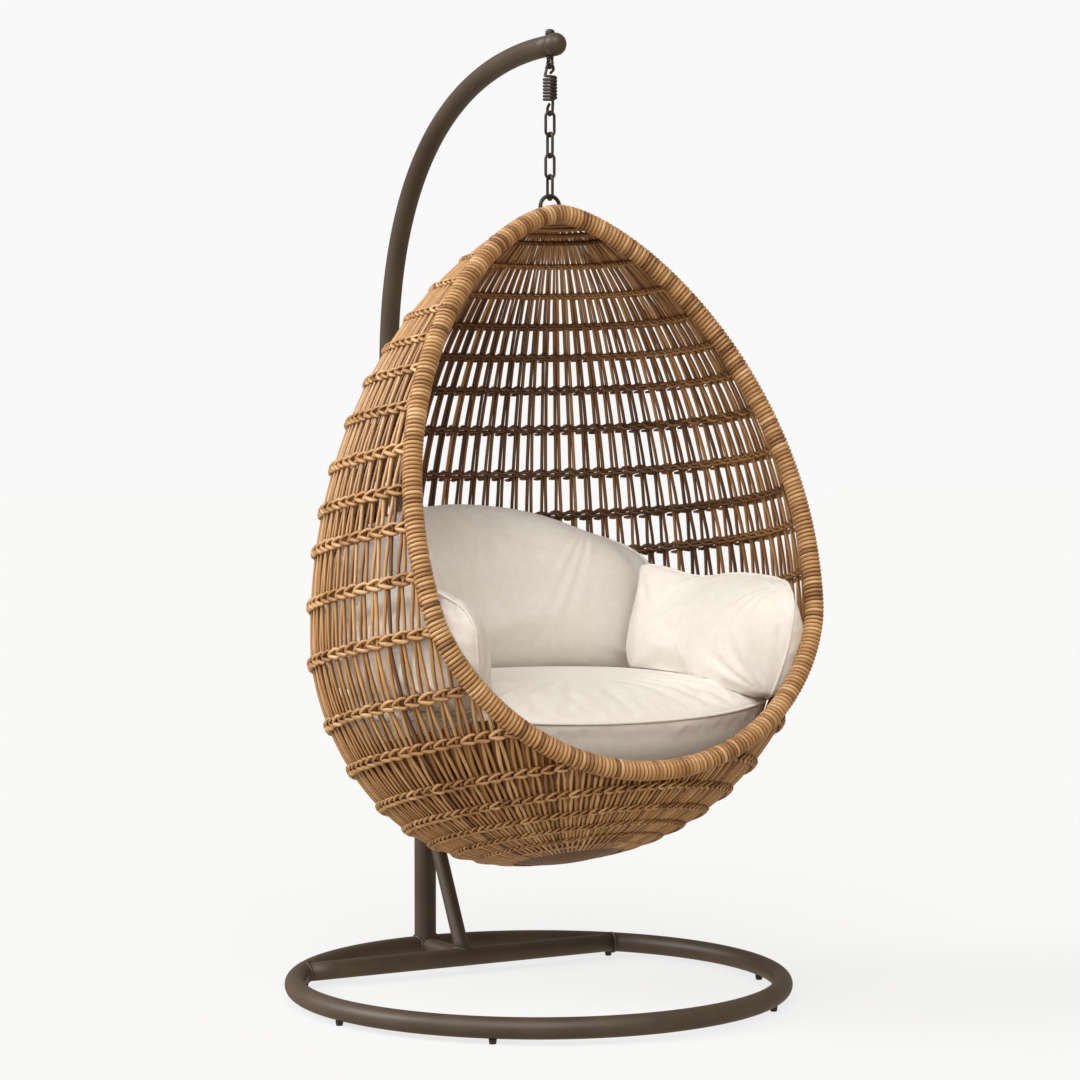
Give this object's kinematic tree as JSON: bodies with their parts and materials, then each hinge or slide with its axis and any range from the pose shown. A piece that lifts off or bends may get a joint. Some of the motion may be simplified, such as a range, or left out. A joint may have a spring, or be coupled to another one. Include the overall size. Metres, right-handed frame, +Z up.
{
  "type": "hanging egg chair",
  "caption": "Open woven egg basket with cushions, hung on a spring and chain from a curved pole that stands on a ring base.",
  "frame": {"origin": "on the floor under the middle of the chair's outline", "axes": "+Z up, the basket's open front faces -Y, the pole stands at +Y, +X is to the right for someone looking at the open front"},
  "size_m": [1.042, 1.2144, 1.9731],
  "materials": {
    "powder_coat": "dark taupe powder coat, satin",
    "hardware": "dark bronzed steel",
    "cane": "golden brown round cane, satin",
    "fabric": "cream woven cotton, matt",
    "rubber": "matt"
  },
  "bodies": {
    "stand": {"base_ring": "powder_coat", "cross_tube": "powder_coat", "link_tube": "powder_coat", "lower_post": "powder_coat", "brace_tube": "powder_coat", "pole": "powder_coat", "pole_end_cap": "powder_coat", "post_bolt_1": "hardware", "post_bolt_2": "hardware", "eye_bolt": "hardware", "eye_bolt_washer": "hardware", "eye_bolt_nut": "hardware", "foot_1": "rubber", "foot_2": "rubber", "foot_3": "rubber", "foot_4": "rubber", "foot_5": "rubber", "foot_6": "rubber"},
    "spring": {"spring": "hardware"},
    "link_1": {"chain_link_1": "hardware"},
    "link_2": {"chain_link_2": "hardware"},
    "link_3": {"chain_link_3": "hardware"},
    "link_4": {"chain_link_4": "hardware"},
    "basket": {"basket_eye": "hardware", "crown_plate": "cane", "rim_hoop": "cane", "bottom_hub": "cane", "weave_crown_left_front": "cane", "weave_crown_left_back": "cane", "weave_crown_right_back": "cane", "weave_crown_right_front": "cane", "weave_upper_left_front": "cane", "weave_upper_left_back": "cane", "weave_upper_right_back": "cane", "weave_upper_right_front": "cane", "weave_middle_left_front": "cane", "weave_middle_left_back": "cane", "weave_middle_right_back": "cane", "weave_middle_right_front": "cane", "weave_lower_left_front": "cane", "weave_lower_left_back": "cane", "weave_lower_right_back": "cane", "weave_lower_right_front": "cane", "seat_cushion": "fabric", "back_cushion": "fabric", "left_cushion": "fabric", "right_cushion": "fabric"}
  },
  "joints": [
    {"name": "swing_fore_aft", "type": "hinge", "parent": "stand", "child": "spring", "pos_m": [0, -0.13205, 1.902], "axis": [1, 0, 0], "range_deg": [-18, 3]},
    {"name": "spring_stretch", "type": "slide", "parent": "spring", "child": "link_1", "axis": [0, 0, -1], "range_m": [0, 0.03], "stiffness_N_per_m": 25000, "springref_m": -0.012, "deforming": ["spring"]},
    {"name": "swing_sideways", "type": "hinge", "parent": "link_1", "child": "link_2", "pos_m": [0, -0.13205, 1.76344], "axis": [0, 1, 0], "range_deg": [-12, 12]},
    {"name": "twist_upper", "type": "hinge", "parent": "link_2", "child": "link_3", "pos_m": [0, -0.13205, 1.72074], "axis": [0, 0, 1], "range_deg": [-25, 25]},
    {"name": "twist_lower", "type": "hinge", "parent": "link_3", "child": "link_4", "pos_m": [0, -0.13205, 1.67804], "axis": [0, 0, 1], "range_deg": [-25, 25]},
    {"name": "basket_turn", "type": "hinge", "parent": "link_4", "child": "basket", "pos_m": [0, -0.13205, 1.63634], "axis": [0, 0, 1], "range_deg": [-25, 25]}
  ]
}
